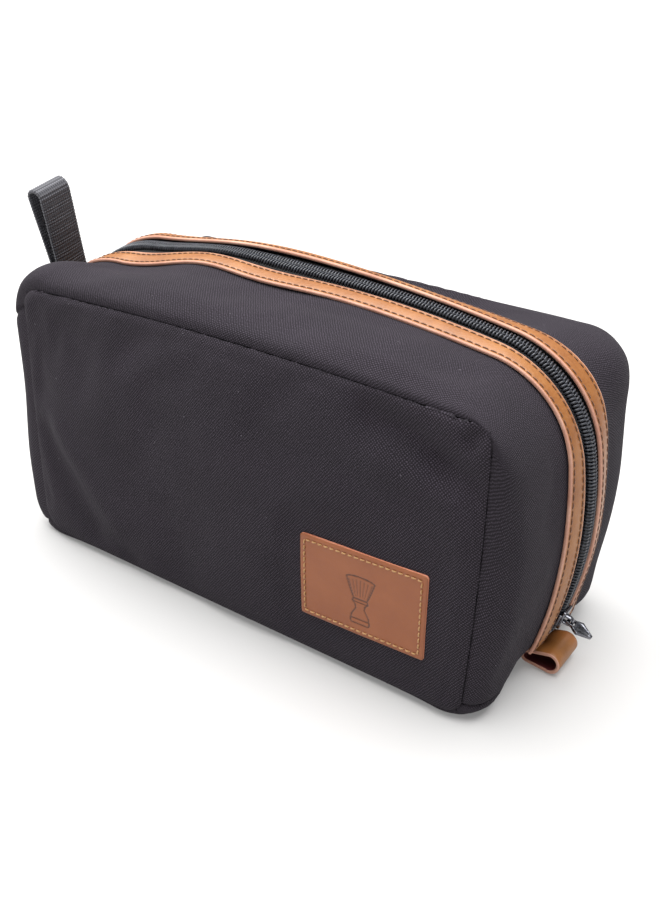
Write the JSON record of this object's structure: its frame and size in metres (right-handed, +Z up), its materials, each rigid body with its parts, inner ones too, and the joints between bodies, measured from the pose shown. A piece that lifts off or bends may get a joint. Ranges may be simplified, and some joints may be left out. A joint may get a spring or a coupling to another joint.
{
  "type": "shaving kit bag",
  "caption": "Box-shaped canvas shaving kit bag with an L-shaped leather-trimmed zip over the top and one end, a webbing hanging loop, a leather end tab and a plain leather patch.",
  "frame": {"origin": "on the floor under the bag, at the middle of the flat underside (midway between the front and back seams and between the side seams)", "axes": "+X along the bag towards the end where the zip comes down and the leather tab is, +Y from front to back, +Z up"},
  "size_m": [0.2945, 0.1287, 0.1739],
  "materials": {
    "canvas": "padded polyester-cotton canvas, twill weave, charcoal black",
    "lining": "plain woven polyester, dark grey",
    "binding": "folded grosgrain bias tape",
    "leather": "smooth tan split leather with raw cut edges and dark stitching",
    "patch_leather": "brown leather with khaki stitching",
    "zip_tape": "woven black zip tape",
    "zip_coil": "semi-gloss black nylon coil",
    "webbing": "ribbed black webbing",
    "gunmetal": "gunmetal-plated die-cast zinc"
  },
  "bodies": {
    "root": {"back_panel": "canvas", "back_lining": "lining", "back_seam_binding": "binding", "rear_gusset": "canvas", "rear_gusset_lining": "lining", "left_end_panel": "canvas", "left_end_lining": "lining", "base_panel": "canvas", "base_lining": "lining", "rear_trim": "leather", "rear_zip_tape": "zip_tape", "rear_coil": "zip_coil", "rear_top_stop": "gunmetal", "front_gusset_end": "canvas", "front_lining_end": "lining", "front_trim_end": "leather", "front_zip_tape_end": "zip_tape", "front_coil_end": "zip_coil", "zip_bottom_stop": "gunmetal"},
    "front_shell": {"front_panel": "canvas", "front_lining": "lining", "front_seam_binding": "binding", "front_gusset": "canvas", "front_gusset_lining": "lining", "front_trim": "leather", "front_zip_tape": "zip_tape", "front_coil": "zip_coil", "front_top_stop": "gunmetal", "patch": "patch_leather"},
    "slider": {"slider_body": "gunmetal", "slider_crown": "gunmetal"},
    "pull": {"pull_tab": "gunmetal"},
    "handle": {"handle_loop": "webbing"},
    "tab": {"tab_loop": "leather"}
  },
  "joints": [
    {"name": "mouth_open", "type": "hinge", "parent": "root", "child": "front_shell", "pos_m": [0, -0.0587, 0.0035], "axis": [1, 0, 0], "range_deg": [0, 22]},
    {"name": "zip_travel", "type": "hinge", "parent": "root", "child": "slider", "pos_m": [-0.02, 0, 0.068], "axis": [0, -1, 0], "range_deg": [0, 24]},
    {"name": "pull_swing", "type": "hinge", "parent": "slider", "child": "pull", "pos_m": [0.13883, 0, 0.02366], "axis": [0, -1, 0], "range_deg": [0, 90]},
    {"name": "handle_flex", "type": "hinge", "parent": "root", "child": "handle", "pos_m": [-0.1393, -0.0095, 0.1095], "axis": [0, 0.9724, 0.2334], "range_deg": [-70, 6], "stiffness_Nm_per_rad": 0.03},
    {"name": "tab_flex", "type": "hinge", "parent": "root", "child": "tab", "pos_m": [0.13, 0, 0.0092], "axis": [0, -1, 0], "range_deg": [0, 35], "stiffness_Nm_per_rad": 0.05}
  ]
}
